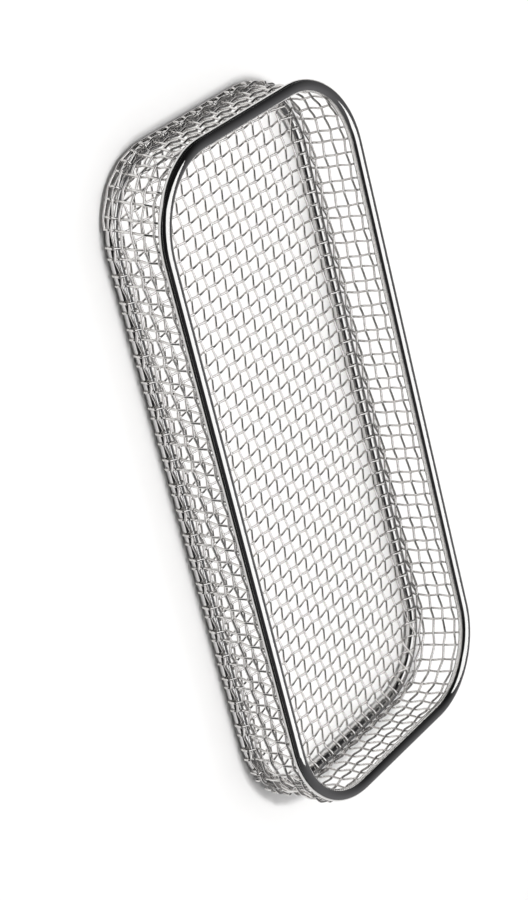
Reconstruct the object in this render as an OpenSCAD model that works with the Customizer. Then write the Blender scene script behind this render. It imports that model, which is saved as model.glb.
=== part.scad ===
// Wire-mesh instrument basket: a round rim bar and a round foot bar carry a
// woven band round the side and a woven floor.

/* [Outline] */
// outside length over the rim bar
basket_l = 263.6; // [200:0.2:400]
// outside width over the rim bar
basket_w = 121.2; // [100:0.2:220]
// height from the table to the top of the rim bar
basket_h = 29.8; // [24:0.2:60]
// bend radius of the rim bar at the corners, on its centre line
corner_r = 31.5; // [24:0.5:40]

/* [Bars] */
// diameter of the rim bar
rim_d = 4.8; // [3:0.1:6]
// diameter of the foot bar
foot_d = 4.8; // [3:0.1:6]

/* [Side wall] */
// distance from the rim bar's centre line in to the middle of the wall
wall_inset = 0.6; // [0:0.1:1]
// distance from the middle of the wall in to the foot bar's centre line
foot_inset = 0.5; // [0.4:0.1:1.4]
// thickness of the wall between its ridges
wall_t = 1.1; // [0.8:0.1:1.6]
// diameter of the wall's round ridges
ridge_d = 2.1; // [1.7:0.1:2.6]
// height of the wall's lower edge above the table
hem_z = 0.7; // [0.4:0.1:1.5]
// width of the upright strands
strand_w = 1.9; // [1:0.1:3]
// sideways lean of the upright strands, in degrees
strand_lean = 6; // [0:0.5:10]
// number of gaps along each long side
long_gaps = 17; // [10:1:17]
// number of gaps along each short side
short_gaps = 5; // [3:1:5]
// number of gaps round each corner
corner_gaps = 4; // [2:1:4]
// height above the foot bar at which the strands start to turn outward
neck_h = 1; // [0.5:0.1:2]

/* [Floor] */
// thickness of the floor between its ridges
floor_t = 1.1; // [0.8:0.1:1.6]
// width of the lengthwise strands
floor_strand_w = 2.1; // [1:0.1:3]
// width of the strip left whole along the floor's edge
floor_edge = 0.8; // [0.5:0.1:1.5]
// number of gaps along the floor
floor_gaps_x = 17; // [10:1:17]
// number of gaps across the floor
floor_gaps_y = 7; // [4:1:7]
// gap kept between the floor's edge and the foot bar it lies on
floor_clear = 0.05; // [0:0.05:0.3]
// gap kept between the floor's edge and the side wall
lip_clear = 0.2; // [0.1:0.05:0.5]

/* [Hidden] */

$fn = 64;
bar_fn = 32;
steel = [0.78, 0.79, 0.8];
wire = [0.7, 0.71, 0.72];

// centre lines and levels
rim_l = basket_l - rim_d;
rim_w = basket_w - rim_d;
rim_z = basket_h - rim_d / 2;
wall_l = rim_l - 2 * wall_inset;
wall_w = rim_w - 2 * wall_inset;
wall_r = corner_r - wall_inset;
foot_l = wall_l - 2 * foot_inset;
foot_w = wall_w - 2 * foot_inset;
foot_r = wall_r - foot_inset;
foot_z = foot_d / 2;

// the wall: its level ridge, and where it starts to turn out over the foot bar
row_mid = (foot_d + rim_z - rim_d / 2) / 2;
neck_z = foot_d + neck_h;
hem_r = foot_d / 2 + wall_t;
hem_x = hem_r - foot_inset;

// carries a profile (x outward, y up) round a rounded rectangle
module sweep_ring(l, w, r) {
    for (k = [0:3]) {
        across = k % 2 == 0 ? l : w;
        along = k % 2 == 0 ? w : l;
        rotate([0, 0, 90 * k]) {
            translate([across / 2, 0, 0]) rotate([90, 0, 0])
                linear_extrude(along - 2 * r, center = true) children();
            translate([across / 2 - r, along / 2 - r, 0])
                rotate_extrude(angle = 90) translate([r, 0]) children();
        }
    }
}

module rim() {
    color(steel) sweep_ring(rim_l, rim_w, corner_r)
        translate([0, rim_z]) circle(d = rim_d, $fn = bar_fn);
}

module foot_ring() {
    color(steel) sweep_ring(foot_l, foot_w, foot_r)
        translate([0, foot_z]) circle(d = foot_d, $fn = bar_fn);
}

// section of the side wall: straight down from the rim bar, then out over the
// foot bar and round its outer face
module wall_section() {
    difference() {
        union() {
            translate([-wall_t / 2, neck_z])
                square([wall_t, rim_z - neck_z]);
            translate([0, row_mid]) circle(d = ridge_d, $fn = 16);
            polygon([[-wall_t / 2, neck_z], [-foot_inset, foot_z], [hem_x, foot_z],
                     [wall_t / 2, neck_z]]);
            intersection() {
                translate([-foot_inset, foot_z]) circle(r = hem_r, $fn = bar_fn);
                translate([-foot_inset, hem_z]) square([foot_d, foot_z - hem_z]);
            }
        }
        translate([wall_inset, rim_z]) circle(d = rim_d, $fn = bar_fn);
        translate([-foot_inset, foot_z]) circle(d = foot_d, $fn = bar_fn);
    }
}

// the space between two strands whose tops lean counter-clockwise seen from
// above, from one height to another
module gap(pitch, low, high) {
    w = pitch - strand_w;
    slope = tan(strand_lean);
    rotate([90, 0, 90])
        linear_extrude(4 * ridge_d, center = true)
            polygon([for (e = [[-w, low], [w, low], [w, high], [-w, high]])
                     [e[0] / 2 + slope * (e[1] - row_mid), e[1]]]);
}

// open below to the foot bar and above to the rim bar
module gap_pair(pitch) {
    gap(pitch, 0, row_mid - ridge_d / 2);
    gap(pitch, row_mid + ridge_d / 2, basket_h);
}

module side_wall() {
    color(wire) difference() {
        sweep_ring(wall_l, wall_w, wall_r) wall_section();
        for (k = [0:3]) {
            across = k % 2 == 0 ? wall_l : wall_w;
            along = k % 2 == 0 ? wall_w : wall_l;
            n = k % 2 == 0 ? short_gaps : long_gaps;
            pitch = (along - 2 * wall_r) / n;
            rotate([0, 0, 90 * k]) {
                for (i = [0:n - 1])
                    translate([across / 2, (i + 0.5 - n / 2) * pitch, 0]) gap_pair(pitch);
                translate([across / 2 - wall_r, along / 2 - wall_r, 0])
                    for (i = [0:corner_gaps - 1])
                        rotate([0, 0, 90 * (i + 0.5) / corner_gaps])
                            translate([wall_r, 0, 0])
                                gap_pair(PI / 2 * wall_r / corner_gaps);
            }
        }
    }
}

// the floor lies level with the foot bar and its edge curves up over the bar
floor_z = foot_z;
lip_r = foot_d / 2 + floor_clear;
lip_top_w = foot_inset - wall_t / 2 - lip_clear;
field_l = foot_l - 2 * (lip_r + floor_t);
field_w = foot_w - 2 * (lip_r + floor_t);
field_r = foot_r - lip_r - floor_t;

module lip_section() {
    difference() {
        translate([0, floor_z]) intersection() {
            circle(r = lip_r + floor_t, $fn = bar_fn);
            translate([-lip_r - floor_t, -floor_t / 2])
                square([lip_r + floor_t + lip_top_w, lip_r + 2 * floor_t]);
        }
        translate([0, floor_z]) circle(r = lip_r, $fn = bar_fn);
    }
}

module field_outline(grow = 0) {
    l = field_l + 2 * grow;
    w = field_w + 2 * grow;
    r = field_r + grow;
    union() {
        square([l - 2 * r, w], center = true);
        square([l, w - 2 * r], center = true);
        for (sx = [-1, 1], sy = [-1, 1])
            translate([sx * (l / 2 - r), sy * (w / 2 - r)]) circle(r = r);
    }
}

module floor_mesh() {
    px = field_l / floor_gaps_x;
    py = field_w / floor_gaps_y;
    color(wire) {
        sweep_ring(foot_l, foot_w, foot_r) lip_section();
        translate([0, 0, floor_z - floor_t / 2]) linear_extrude(floor_t) {
            difference() {
                field_outline(floor_t / 2);
                field_outline(-floor_edge);
            }
            intersection() {
                field_outline();
                for (i = [1:floor_gaps_y - 1])
                    translate([0, (i - floor_gaps_y / 2) * py])
                        square([field_l, floor_strand_w], center = true);
            }
        }
        intersection() {
            translate([0, 0, floor_z - ridge_d]) linear_extrude(2 * ridge_d) field_outline();
            for (i = [1:floor_gaps_x - 1])
                translate([(i - floor_gaps_x / 2) * px, 0, floor_z]) rotate([90, 0, 0])
                    cylinder(d = ridge_d, h = field_w, center = true, $fn = 16);
        }
    }
}

rim();
foot_ring();
side_wall();
floor_mesh();
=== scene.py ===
import bpy
import numpy as np
from mathutils import Matrix, Vector


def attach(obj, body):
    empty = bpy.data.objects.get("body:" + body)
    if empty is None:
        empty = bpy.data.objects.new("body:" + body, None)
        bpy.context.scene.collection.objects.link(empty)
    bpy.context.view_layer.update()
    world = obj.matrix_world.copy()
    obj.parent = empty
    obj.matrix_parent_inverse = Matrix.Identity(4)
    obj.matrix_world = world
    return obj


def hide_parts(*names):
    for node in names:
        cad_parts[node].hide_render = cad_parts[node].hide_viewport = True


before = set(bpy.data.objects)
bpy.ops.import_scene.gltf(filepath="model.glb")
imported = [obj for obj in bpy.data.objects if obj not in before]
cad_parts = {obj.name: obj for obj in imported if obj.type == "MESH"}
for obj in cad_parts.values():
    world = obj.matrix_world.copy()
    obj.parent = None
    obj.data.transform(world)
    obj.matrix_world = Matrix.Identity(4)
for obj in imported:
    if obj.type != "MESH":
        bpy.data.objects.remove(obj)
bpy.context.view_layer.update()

# ---------------------------------------------------------------------------
# Camera: above one long side, turned so that the basket runs up the picture
# ---------------------------------------------------------------------------
MM = 0.001
PITCH = 5.08  # one mesh of the woven wire, in millimetres

camera_at = (-362.33, -680.56, 592.18)
camera_right = Vector((0.22968, 0.56797, 0.79036))
camera_up = Vector((-0.89831, 0.43622, -0.05243))
camera_back = camera_right.cross(camera_up)
camera_data = bpy.data.cameras.new("camera")
camera_data.sensor_width = 36
camera_data.lens = 103.33
camera_data.clip_end = 10
camera = bpy.data.objects.new("camera", camera_data)
camera.matrix_world = Matrix((
    (camera_right.x, camera_up.x, camera_back.x, camera_at[0] * MM),
    (camera_right.y, camera_up.y, camera_back.y, camera_at[1] * MM),
    (camera_right.z, camera_up.z, camera_back.z, camera_at[2] * MM),
    (0, 0, 0, 1)))
bpy.context.scene.collection.objects.link(camera)
bpy.context.scene.camera = camera
bpy.context.scene.view_settings.view_transform = "Standard"

# ---------------------------------------------------------------------------
# Table and studio: a pale table under four soft boxes, in a room that is nearly
# black past the -X end and grey past the +X end and the far side
# ---------------------------------------------------------------------------
TABLE = 4             # half the side of the table, in metres
CARD_Z = 0.0005
ROOM_TOWARDS = (0.8, 0.5, 0)
# the room's grey by direction: 0 is opposite ROOM_TOWARDS and 1 along it
ROOM_TONES = ((0.3, 0.01), (0.475, 0.035), (0.675, 0.09), (0.8, 0.12), (0.98, 0.2))
ROOM_BLUE = 1.04      # the room's blue for its grey

table_mesh = bpy.data.meshes.new("table")
table_mesh.from_pydata([(-TABLE, -TABLE, 0), (TABLE, -TABLE, 0), (TABLE, TABLE, 0),
                        (-TABLE, TABLE, 0)], [], [(0, 1, 2, 3)])
table = bpy.data.objects.new("table", table_mesh)
bpy.context.scene.collection.objects.link(table)
table_paint = bpy.data.materials.new("table_paint")
table_paint.use_nodes = True
paint = table_paint.node_tree.nodes["Principled BSDF"]
paint.inputs["Base Color"].default_value = (0.86, 0.855, 0.85, 1)
paint.inputs["Roughness"].default_value = 0.9
paint.inputs["Specular IOR Level"].default_value = 0.1
table_mesh.materials.append(table_paint)

# the bars mirror the overhead box and the wires mirror the wire box; the other
# two give light but no reflection
lights = []
for name, size, place, power, mirrored in (
        ("overhead", (1.6, 1.25), (0, -0.105, 1.1), 9.1, True),
        ("wire_box", (2.1, 2.15), (-0.55, -0.425, 1.1), 23.0, True),
        ("top", (0.12, 0.1), (-0.1, -0.066, 1.1), 6.6, False),
        ("far_side", (1.4, 0.9), (0.1, 0.75, 0.9), 5.0, False)):
    data = bpy.data.lights.new(name, "AREA")
    data.shape = "RECTANGLE"
    data.size, data.size_y = size
    data.energy = power
    light = bpy.data.objects.new(name, data)
    light.location = place
    if name == "far_side":
        light.rotation_euler = Vector(place).to_track_quat("Z", "Y").to_euler()
    light.visible_glossy = mirrored
    bpy.context.scene.collection.objects.link(light)
    lights.append(light)

# dark cards on the table past the -X end and before the near side, which only
# the metal shows
card_paint = bpy.data.materials.new("card_paint")
card_paint.use_nodes = True
card_shader = card_paint.node_tree.nodes["Principled BSDF"]
card_shader.inputs["Base Color"].default_value = (0.02, 0.02, 0.02, 1)
card_shader.inputs["Specular IOR Level"].default_value = 0
for name, (x0, x1), (y0, y1) in (("card_left", (-1.5, -0.163), (-0.6, 0.6)),
                                 ("card_front", (-0.163, 1.5), (-0.6, -0.1))):
    card_mesh = bpy.data.meshes.new(name)
    card_mesh.from_pydata([(x0, y0, CARD_Z), (x1, y0, CARD_Z), (x1, y1, CARD_Z),
                           (x0, y1, CARD_Z)], [], [(0, 1, 2, 3)])
    card_mesh.materials.append(card_paint)
    card = bpy.data.objects.new(name, card_mesh)
    bpy.context.scene.collection.objects.link(card)
    card.visible_camera = card.visible_diffuse = card.visible_shadow = False

room = bpy.data.worlds.new("room")
room.use_nodes = True
bpy.context.scene.world = room
room_nodes, room_links = room.node_tree.nodes, room.node_tree.links
direction = room_nodes.new("ShaderNodeTexCoord")
slant = room_nodes.new("ShaderNodeVectorMath")
slant.operation = "DOT_PRODUCT"
slant.inputs[1].default_value = ROOM_TOWARDS
room_links.new(direction.outputs["Generated"], slant.inputs[0])
shift = room_nodes.new("ShaderNodeMapRange")
shift.inputs["From Min"].default_value = -1
tone = room_nodes.new("ShaderNodeValToRGB")
stops = tone.color_ramp.elements
stops[1].position = ROOM_TONES[-1][0]
for place, _ in ROOM_TONES[1:-1]:
    stops.new(place)
for stop, (_, grey) in zip(stops, ROOM_TONES):
    stop.color = (grey, grey, grey * ROOM_BLUE, 1)
stops[0].position = ROOM_TONES[0][0]
room_links.new(slant.outputs["Value"], shift.inputs["Value"])
room_links.new(shift.outputs["Result"], tone.inputs["Fac"])
room_links.new(tone.outputs["Color"], room_nodes["Background"].inputs["Color"])

# ---------------------------------------------------------------------------
# Rim bar and foot bar: two rounds of stainless rod, each bent to the same
# rounded rectangle, butt-welded and electropolished to a mirror
# ---------------------------------------------------------------------------
ROD_D = 4.8
ROD_R = ROD_D / 2
RIM_L, RIM_W, RIM_R, RIM_Z = 258.8, 116.4, 31.5, 27.4
WALL_INSET = 0.6
WALL_L, WALL_W, WALL_R = RIM_L - 2 * WALL_INSET, RIM_W - 2 * WALL_INSET, RIM_R - WALL_INSET
FOOT_INSET = 0.5
FOOT_L, FOOT_W, FOOT_R = WALL_L - 2 * FOOT_INSET, WALL_W - 2 * FOOT_INSET, WALL_R - FOOT_INSET
FOOT_Z = ROD_R
CLOUD_LOW, CLOUD_HIGH = 0.3, 0.7      # the part of the soft noise that turns into roughness
GRAIN_DEPTH = 0.0001                  # of the finer noise, in metres


def surface_wear():
    """A shader group: the cloudiness and fine marks that polishing leaves.
    Colour is dulled and roughness raised where a soft noise is high; the
    normal is tilted by a finer noise."""
    group = bpy.data.node_groups.new("surface_wear", "ShaderNodeTree")
    add = group.interface.new_socket
    add("Base", in_out="INPUT", socket_type="NodeSocketColor")
    add("Stain", in_out="INPUT", socket_type="NodeSocketColor")
    for name in ("Stain Amount", "Rough Low", "Rough High", "Cloud Scale", "Grain Scale",
                 "Grain Height"):
        add(name, in_out="INPUT", socket_type="NodeSocketFloat")
    add("Color", in_out="OUTPUT", socket_type="NodeSocketColor")
    add("Roughness", in_out="OUTPUT", socket_type="NodeSocketFloat")
    add("Normal", in_out="OUTPUT", socket_type="NodeSocketVector")
    nodes, links = group.nodes, group.links
    given = nodes.new("NodeGroupInput")
    result = nodes.new("NodeGroupOutput")
    place = nodes.new("ShaderNodeTexCoord")
    cloud = nodes.new("ShaderNodeTexNoise")
    cloud.inputs["Detail"].default_value = 4
    grain = nodes.new("ShaderNodeTexNoise")
    grain.inputs["Detail"].default_value = 3
    mix = nodes.new("ShaderNodeMix")
    mix.data_type = "RGBA"
    amount = nodes.new("ShaderNodeMath")
    amount.operation = "MULTIPLY"
    rough = nodes.new("ShaderNodeMapRange")
    rough.inputs["From Min"].default_value = CLOUD_LOW
    rough.inputs["From Max"].default_value = CLOUD_HIGH
    bump = nodes.new("ShaderNodeBump")
    bump.inputs["Distance"].default_value = GRAIN_DEPTH
    links.new(place.outputs["Object"], cloud.inputs["Vector"])
    links.new(place.outputs["Object"], grain.inputs["Vector"])
    links.new(given.outputs["Cloud Scale"], cloud.inputs["Scale"])
    links.new(given.outputs["Grain Scale"], grain.inputs["Scale"])
    links.new(cloud.outputs["Fac"], amount.inputs[0])
    links.new(given.outputs["Stain Amount"], amount.inputs[1])
    links.new(amount.outputs["Value"], mix.inputs["Factor"])
    links.new(given.outputs["Base"], mix.inputs["A"])
    links.new(given.outputs["Stain"], mix.inputs["B"])
    links.new(mix.outputs["Result"], result.inputs["Color"])
    links.new(cloud.outputs["Fac"], rough.inputs["Value"])
    links.new(given.outputs["Rough Low"], rough.inputs["To Min"])
    links.new(given.outputs["Rough High"], rough.inputs["To Max"])
    links.new(rough.outputs["Result"], result.inputs["Roughness"])
    links.new(grain.outputs["Fac"], bump.inputs["Height"])
    links.new(given.outputs["Grain Height"], bump.inputs["Strength"])
    links.new(bump.outputs["Normal"], result.inputs["Normal"])
    return group


wear = surface_wear()


def steel(name, base, stain, values):
    """A metal whose colour, roughness and normal come from the wear group."""
    material = bpy.data.materials.new(name)
    material.use_nodes = True
    nodes, links = material.node_tree.nodes, material.node_tree.links
    shader = nodes["Principled BSDF"]
    shader.inputs["Metallic"].default_value = 1
    group = nodes.new("ShaderNodeGroup")
    group.node_tree = wear
    group.inputs["Base"].default_value = (*base, 1)
    group.inputs["Stain"].default_value = (*stain, 1)
    for key, value in values.items():
        group.inputs[key].default_value = value
    links.new(group.outputs["Color"], shader.inputs["Base Color"])
    links.new(group.outputs["Roughness"], shader.inputs["Roughness"])
    links.new(group.outputs["Normal"], shader.inputs["Normal"])
    return material


bar_steel = steel("polished_bar", (0.66, 0.655, 0.65), (0.5, 0.49, 0.47),
                  {"Stain Amount": 0.25, "Rough Low": 0.03, "Rough High": 0.09,
                   "Cloud Scale": 45, "Grain Scale": 700, "Grain Height": 0.03})
# both bars are shown as the solids they are
for node in ("rim", "foot_ring"):
    for material_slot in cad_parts[node].material_slots:
        material_slot.material = bar_steel

# ---------------------------------------------------------------------------
# Side wall: a band of plain woven wire. Its upright wires stop under the rim
# bar and turn out over the foot bar. Four level wires and a hem wire weave
# round through them, and one more has come loose round the -X end
# ---------------------------------------------------------------------------
WIRE_R = 0.19 * PITCH / 2
WIRE_SIDES = 8        # faces round a wire
MESH_STEPS = 8        # points along a wire for each mesh
RING_CLOSE = 0.001    # how near the two ends of a closed ring's path lie
OUTLINE_STEPS = 40000
HARMONIC = 0.08       # share of the third harmonic in the crimp

UPRIGHTS = 136
LEAN = 0.104          # sideways travel of an upright for its height
LEAN_FROM = 1.44      # the height, in meshes, at which SPACING gives the places
HOOP_Z = (np.arange(4) + 1.47) * PITCH
HOOP_CRIMP = 0.088 * PITCH
UPRIGHT_CRIMP = 0.095 * PITCH
# between which heights, in meshes from the lowest hoop, the uprights are
# crimped, and over how many meshes the crimp fades at each end
CRIMP_FROM, CRIMP_TO, CRIMP_FADE = -0.5, 3.7, 0.5
# the uprights stand in pairs: how far each is drawn along, by height, in meshes
PAIR_Z, PAIR_DRAW = (1.2 * PITCH, 4.6 * PITCH), (0.115, 0.045)
# and which way, by its number
PAIRING = np.array([(1, -1), (36, -1), (69, 1), (105, 1), (137, -1)])

BULGE, BULGE_FOOT = 1.5, 0.9      # how far the woven band springs out at the corners
# one corner is bent out further: towards where, and how far at which height
BENT_TOWARDS = np.array([0.87, -0.49])
BENT_POWER = 16
BENT_Z, BENT_OUT = [2.4, 13.7, 22.7, 25.2], [0, 1.1, 2.35, 1.4]

BAR_REACH = ROD_R + WIRE_R
HEM_Z = 0.9 * PITCH
# in degrees round the foot bar, up from level: where the hem wire and the loose
# wire run and how far they sway, and where the uprights end, away from the loose
# wire and by it
HEM_TURN, HEM_SWAY = 49, 7
LOOSE_TURN, LOOSE_SWAY = -12, 6
TAIL_TURN, TAIL_TURN_LOOSE = -17, 4
LOOSE_SPAN = (109, 134)           # the uprights between which the loose wire lies
# the angles round the foot bar at which an upright's path is given, after its
# tail and half its tail, and how much of a wire's width it stands off the bar at
# each of the eight where it passes over the hem wire
BAR_TURNS = (0, 12, 25, 38, 50, 62)
STAND_OFF = np.array([0, 0, 0.05, 0.2, 0.45, 0.85, 1.0, 0.8])
STRAIGHT_Z, STRAIGHT_Z_OVER = 6.9, 7.6    # from where an upright stands plumb
TOP_SUNK = 0.1                    # how far the upper ends sink into the rim bar
# points of an upright's path, before and after thinning, and in its running mean
PROFILE_STEPS, PROFILE_POINTS, SMOOTHING = 400, 52, 15


def outline(l, w, r, s):
    """Points (x, y) and outward directions at the arc lengths s along a rounded
    rectangle, counter-clockwise from the middle of its -Y side. The heading is
    piecewise linear in s, and the points are its running integral."""
    a, b, q = (l - 2 * r) / 2, w - 2 * r, np.pi / 2 * r
    knots = np.cumsum([0, a, q, b, q, 2 * a, q, b, q, a])
    turns = np.array([0, 0, 1, 1, 2, 2, 3, 3, 4, 4]) * np.pi / 2
    fine = np.linspace(0, knots[-1], OUTLINE_STEPS + 1)
    heading = np.interp(fine, knots, turns)
    step = fine[1]
    middle = (heading[1:] + heading[:-1]) / 2
    x = np.concatenate([[0], np.cumsum(np.cos(middle))]) * step
    y = np.concatenate([[0], np.cumsum(np.sin(middle))]) * step - w / 2
    s = np.mod(s, knots[-1])
    turn = np.interp(s, fine, heading)
    points = np.stack([np.interp(s, fine, x), np.interp(s, fine, y)], -1)
    return points, np.stack([np.sin(turn), -np.cos(turn)], -1), knots[-1]


def wire_mesh(name, paths, upright=False):
    """Round wires along paths of (n, 3) points in millimetres: at each point a
    ring across the path, joined to the next ring by quads, with a flat cap on
    each open end. The rings are squared to the direction out from the basket's
    middle for upright wires, and to plumb for others."""
    sides = WIRE_SIDES
    angles = np.arange(sides) * 2 * np.pi / sides
    points, faces, start = [], [], 0
    for path in paths:
        closed = np.allclose(path[0], path[-1], atol=RING_CLOSE)
        path = path[:-1] if closed else path
        n = len(path)
        out_from_middle = (*path[n // 2, :2], 0)
        if closed:
            along = np.roll(path, -1, 0) - np.roll(path, 1, 0)
        else:
            along = np.gradient(path, axis=0)
        along /= np.linalg.norm(along, axis=1, keepdims=True)
        across = np.cross(out_from_middle if upright else (0, 0, 1), along)
        across /= np.linalg.norm(across, axis=1, keepdims=True)
        over = np.cross(along, across)
        ring = (path[:, None] + WIRE_R * (np.cos(angles)[None, :, None] * across[:, None]
                                          + np.sin(angles)[None, :, None] * over[:, None]))
        points.append(ring.reshape(-1, 3))
        i = np.arange(n if closed else n - 1)[:, None]
        j = np.arange(sides)[None]
        a, b = i * sides, (i + 1) % n * sides
        k = (j + 1) % sides
        quads = np.stack([a + j, a + k, b + k, b + j], -1).reshape(-1, 4) + start
        faces.extend(quads.tolist())
        if not closed:
            faces.append((start + np.arange(sides)[::-1]).tolist())
            faces.append((start + (n - 1) * sides + np.arange(sides)).tolist())
        start += n * sides
    mesh = bpy.data.meshes.new(name)
    mesh.from_pydata((np.concatenate(points) * MM).tolist(), [], faces)
    mesh.polygons.foreach_set("use_smooth", np.array([len(f) == 4 for f in faces]))
    mesh.update()
    piece = bpy.data.objects.new(name, mesh)
    bpy.context.scene.collection.objects.link(piece)
    return piece


def crimp(turns):
    """The weave's wave: +1 and -1 at alternate crossings, a cosine with a little
    of its third harmonic, so that it is straighter in between."""
    wave = np.cos(np.pi * turns) + HARMONIC * np.cos(3 * np.pi * turns)
    return wave / (1 + HARMONIC)


WALL_LENGTH = outline(WALL_L, WALL_W, WALL_R, np.zeros(1))[2]
HALF_TURN = WALL_LENGTH / PITCH / 2   # half way round, in meshes
# which upright stands where, in meshes from the middle of the -Y side
SPACING = np.array([(1, -18.40), (19, -0.47), (36, 16.23), (69, HALF_TURN - 17.83),
                    (87, HALF_TURN + 0.17), (105, HALF_TURN + 18.25),
                    (116, 1.5 * HALF_TURN - 5.1), (126, 1.5 * HALF_TURN + 5.0),
                    (137, 2 * HALF_TURN - 18.40)])


def upright_s(k, z):
    """Arc length of upright k at height z: spaced by the table above, drawn
    together in pairs, less so near the rim, and leaning."""
    pair = np.interp(z, PAIR_Z, PAIR_DRAW)
    lap = np.floor((k - 1) / UPRIGHTS)
    number = k - UPRIGHTS * lap
    side = np.interp(number, PAIRING[:, 0], PAIRING[:, 1])
    meshes = (np.interp(number, SPACING[:, 0], SPACING[:, 1]) + 2 * HALF_TURN * lap
              + side * pair * (1 - 2 * np.mod(k, 2)))
    return (meshes + LEAN * (z / PITCH - LEAN_FROM)) * PITCH


def corner_bulge(outward, z):
    """How far the band stands out at the corners: the square of the sine of
    twice the heading, less at the foot bar than above. At one corner it is bent
    out further below the rim bar, by a high power of the cosine of the angle
    from where the bend points."""
    height = np.interp(z, [FOOT_Z, 2 * PITCH], [BULGE_FOOT, BULGE])
    bent = np.interp(z, BENT_Z, BENT_OUT) * np.maximum(outward @ BENT_TOWARDS, 0) ** BENT_POWER
    return height * (2 * outward[:, 0] * outward[:, 1]) ** 2 + bent


def upright_profile(over, tail):
    """Offset outward from the wall's middle, and height, of an upright from its
    lower end, tail degrees round the foot bar's outer face, to the rim. Under
    the hem wire it hugs the bar; over it, it stands off by up to a wire's width.
    A running mean softens its bends."""
    turn = np.radians([tail, tail / 2, *BAR_TURNS])
    reach = np.full(len(turn), BAR_REACH)
    if over:
        reach = reach + 2 * WIRE_R * STAND_OFF
    o = reach * np.cos(turn) - FOOT_INSET
    z = FOOT_Z + reach * np.sin(turn)
    top = RIM_Z - np.sqrt(ROD_R ** 2 - WALL_INSET ** 2) + TOP_SUNK
    o = np.concatenate([o, [0, 0]])
    z = np.concatenate([z, [STRAIGHT_Z_OVER if over else STRAIGHT_Z, top]])
    travel = np.concatenate([[0], np.cumsum(np.hypot(np.diff(o), np.diff(z)))])
    fine = np.linspace(0, travel[-1], PROFILE_STEPS)
    o, z = np.interp(fine, travel, o), np.interp(fine, travel, z)
    kernel = np.ones(SMOOTHING) / SMOOTHING
    o = np.convolve(np.pad(o, SMOOTHING // 2, mode="edge"), kernel, "valid")
    pick = np.linspace(0, PROFILE_STEPS - 1, PROFILE_POINTS).round().astype(int)
    return o[pick], z[pick]


uprights = []
for k in range(1, UPRIGHTS + 1):
    tail = TAIL_TURN_LOOSE if LOOSE_SPAN[0] < k < LOOSE_SPAN[1] else TAIL_TURN
    profile_o, profile_z = upright_profile(k % 2 == 1, tail)
    s = upright_s(k, profile_z)
    points, outward, _ = outline(WALL_L, WALL_W, WALL_R, s)
    turns = (profile_z - HOOP_Z[0]) / PITCH
    fade = (np.clip((turns - CRIMP_FROM) / CRIMP_FADE, 0, 1)
            * np.clip((CRIMP_TO - turns) / CRIMP_FADE, 0, 1))
    offset = (profile_o + UPRIGHT_CRIMP * fade * crimp(turns) * (-1) ** k
              + corner_bulge(outward, profile_z))
    uprights.append(np.column_stack([points + outward * offset[:, None], profile_z]))
hoops = []
numbers = np.arange(1, UPRIGHTS + 2)
for j, z in enumerate(HOOP_Z):
    crossings = upright_s(numbers, z)
    s = crossings[0] + np.linspace(0, WALL_LENGTH, UPRIGHTS * MESH_STEPS + 1)
    turns = np.interp(s, crossings, numbers)
    points, outward, _ = outline(WALL_L, WALL_W, WALL_R, s)
    offset = HOOP_CRIMP * crimp(turns) * (-1) ** (j + 1) + corner_bulge(outward, z)
    hoops.append(np.column_stack([points + outward * offset[:, None], np.full(len(s), z)]))
# the hem wire, woven through the uprights on the foot bar's upper outer side,
# and the loose wire, which lies against the bar below it
crossings = upright_s(numbers, np.full(len(numbers), HEM_Z))
for first, last, middle_turn, sway, over, level in (
        (1, UPRIGHTS + 1, HEM_TURN, -HEM_SWAY, WIRE_R, BAR_REACH + WIRE_R),
        (*LOOSE_SPAN, LOOSE_TURN, LOOSE_SWAY, 0, BAR_REACH)):
    turns = np.linspace(first, last, (last - first) * MESH_STEPS + 1)
    points, outward, _ = outline(WALL_L, WALL_W, WALL_R, np.interp(turns, numbers, crossings))
    turn = np.radians(middle_turn + sway * crimp(turns))
    reach = level + over * crimp(turns)
    hoops.append(np.column_stack([
        points + outward * (reach * np.cos(turn) - FOOT_INSET
                            + corner_bulge(outward, FOOT_Z))[:, None],
        FOOT_Z + reach * np.sin(turn)]))

wire_steel = steel("woven_wire", (0.74, 0.73, 0.72), (0.48, 0.45, 0.42),
                   {"Stain Amount": 0.3, "Rough Low": 0.03, "Rough High": 0.1,
                    "Cloud Scale": 120, "Grain Scale": 1500, "Grain Height": 0.04})
upright_wires = wire_mesh("upright_wires", uprights, upright=True)
level_wires = wire_mesh("level_wires", hoops)
for piece in (upright_wires, level_wires):
    piece.data.materials.append(wire_steel)
    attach(piece, "root")
    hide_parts("side_wall")

# ---------------------------------------------------------------------------
# Floor: a flat panel of the same weave, its cut edge turned up over the inner
# side of the foot bar and welded on top of it
# ---------------------------------------------------------------------------
FLOOR_Z = 0.44 * PITCH
# for each set of wires: their numbers, where number 0 lies, and their spacing
CROSS_NUMBERS, CROSS_X0, CROSS_STEP = range(-18, 30), -5.507 * PITCH, 1.015 * PITCH
LONG_NUMBERS, LONG_Y0, LONG_STEP = range(-9, 12), -0.781 * PITCH, 1.017 * PITCH
CROSS_CRIMP = 0.115 * PITCH
LONG_CRIMP = 0.08 * PITCH
EDGE = 0.1 * PITCH    # where the wires end, inside the foot bar's centre line
END_L, END_W, END_R = FOOT_L - 2 * EDGE, FOOT_W - 2 * EDGE, FOOT_R - EDGE
FLOOR_CLEAR = 0.05    # between the wires and the foot bar
RAMP_TOUCH = 50       # where the ramp up to the foot bar meets it, degrees
RAMP_SOFT = 0.05 * PITCH
# in from the foot bar's centre line, in meshes: how far the wires have no
# crimp, and over how much more it grows to the full
EDGE_FLAT, EDGE_FADE = 0.35, 0.6


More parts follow.
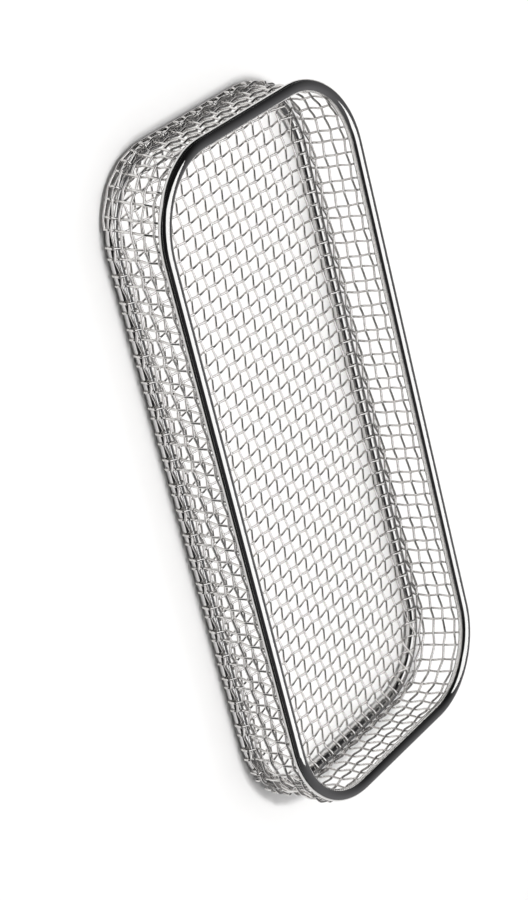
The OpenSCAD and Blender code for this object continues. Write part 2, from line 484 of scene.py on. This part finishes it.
def floor_height(x, y):
    """Height of the floor's middle at (x, y), and how much of the crimp is left:
    flat inside, then a ramp up to a round that follows the foot bar, eased
    together by a soft maximum."""
    qx, qy = np.abs(x) - (FOOT_L / 2 - FOOT_R), np.abs(y) - (FOOT_W / 2 - FOOT_R)
    inside = FOOT_R - (np.hypot(np.maximum(qx, 0), np.maximum(qy, 0))
                       + np.minimum(np.maximum(qx, qy), 0))
    reach = BAR_REACH + FLOOR_CLEAR
    touch = np.radians(RAMP_TOUCH)
    ramp = FOOT_Z + reach * np.cos(touch) - np.tan(touch) * (inside - reach * np.sin(touch))
    round_bar = FOOT_Z + np.sqrt(np.maximum(reach ** 2 - inside ** 2, 0))
    rise = np.where(inside < reach * np.sin(touch), round_bar, ramp)
    height = FLOOR_Z + RAMP_SOFT * np.logaddexp(0, (rise - FLOOR_Z) / RAMP_SOFT)
    return height, np.clip((inside / PITCH - EDGE_FLAT) / EDGE_FADE, 0, 1)


def reach_at(p, l, w):
    """Half the length of a wire at distance p from the middle of the outline on
    which the wires end, a rounded rectangle l wide across them and w along."""
    past = np.maximum(np.abs(p) - (l / 2 - END_R), 0)
    return w / 2 - END_R + np.sqrt(np.maximum(END_R ** 2 - past ** 2, 0))


cross_wires = []
for i in CROSS_NUMBERS:
    x = CROSS_X0 + i * CROSS_STEP
    half = reach_at(x, END_L, END_W)
    y = np.linspace(-half, half, int(2 * half / PITCH * MESH_STEPS) + 1)
    z, left = floor_height(x, y)
    turns = (y - LONG_Y0) / LONG_STEP
    z = z + CROSS_CRIMP * left * crimp(turns) * (-1) ** (i + 1)
    cross_wires.append(np.column_stack([np.full(len(y), x), y, z]))
long_wires = []
for j in LONG_NUMBERS:
    y = LONG_Y0 + j * LONG_STEP
    half = reach_at(y, END_W, END_L)
    x = np.linspace(-half, half, int(2 * half / PITCH * MESH_STEPS) + 1)
    z, left = floor_height(x, y)
    turns = (x - CROSS_X0) / CROSS_STEP
    z = z + LONG_CRIMP * left * crimp(turns) * (-1) ** j
    long_wires.append(np.column_stack([x, np.full(len(x), y), z]))

floor_wires = []
for name, paths in (("floor_cross_wires", cross_wires), ("floor_long_wires", long_wires)):
    piece = wire_mesh(name, paths)
    floor_wires.append(piece)
    piece.data.materials.append(wire_steel)
    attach(piece, "root")
    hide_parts("floor_mesh")

# ---------------------------------------------------------------------------
# Light and shadow: the bars and the side wall cast shadows, the floor's thin
# wires cast none. The wire box lights the wires alone, and the overhead box the
# bars and the table
# ---------------------------------------------------------------------------
shading = bpy.data.collections.new("shading")
for name in ("rim", "foot_ring"):
    shading.objects.link(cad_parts[name])
for piece in (upright_wires, level_wires):
    shading.objects.link(piece)
wires = bpy.data.collections.new("wires")
for piece in (upright_wires, level_wires, *floor_wires):
    wires.objects.link(piece)
bars_and_table = bpy.data.collections.new("bars_and_table")
for piece in (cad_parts["rim"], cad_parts["foot_ring"], table):
    bars_and_table.objects.link(piece)
for light in lights:
    light.light_linking.blocker_collection = shading
    if light.name == "wire_box":
        light.light_linking.receiver_collection = wires
    if light.name == "overhead":
        light.light_linking.receiver_collection = bars_and_table
